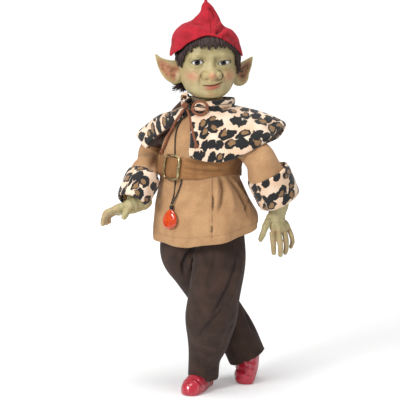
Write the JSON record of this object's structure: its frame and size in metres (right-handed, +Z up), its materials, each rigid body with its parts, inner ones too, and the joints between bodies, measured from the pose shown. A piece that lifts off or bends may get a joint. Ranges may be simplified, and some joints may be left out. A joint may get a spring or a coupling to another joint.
{
  "type": "elf figurine",
  "caption": "Standing elf doll in mid stride, with a pointed felt cap, leopard print cape, suede tunic, belt, pendant and glossy red shoes.",
  "frame": {"origin": "middle of the figure's bounding box in X and Y, at the floor it stands on", "axes": "+Z up, -Y is the way the face looks, +X is to the right of someone who faces the figure"},
  "size_m": [0.25, 0.1324, 0.4924],
  "materials": {
    "skin": "matt, soft sheen",
    "hand_skin": "matt, soft sheen",
    "eye": "clear gloss",
    "hair": "combed fibre",
    "red_felt": "felt",
    "cloth_body": "woven cotton",
    "tan_suede": "suede cloth",
    "belt_suede": "suede",
    "brown_suede": "suede cloth",
    "leopard_plush": "short plush with a leopard print",
    "satin_lining": "satin",
    "red_leather": "glossy, creased",
    "brass": "antique",
    "lace_suede": "suede",
    "wax_cord": "waxed cord",
    "amber": "polished"
  },
  "bodies": {
    "root": {"head": "skin", "eye_left": "eye", "eye_right": "eye", "hair": "hair", "cap": "red_felt", "torso": "cloth_body", "arm_left": "cloth_body", "arm_right": "cloth_body", "hand_left": "hand_skin", "hand_right": "hand_skin", "leg_left": "cloth_body", "leg_right": "cloth_body", "trousers": "brown_suede", "tunic": "tan_suede", "cuff_left": "leopard_plush", "cuff_right": "leopard_plush", "cape": "leopard_plush", "cape_lining": "satin_lining", "collar": "leopard_plush", "belt": "belt_suede", "buckle": "brass", "lace_knot": "lace_suede", "lace_loop": "lace_suede", "lace_tail_left": "lace_suede", "lace_tail_right": "lace_suede", "lace_end_left": "lace_suede", "lace_end_right": "lace_suede", "pendant_cord_left": "wax_cord", "pendant_cord_right": "wax_cord", "pendant_wrap": "wax_cord", "pendant": "amber", "shoe_left": "red_leather", "shoe_right": "red_leather"}
  },
  "joints": []
}
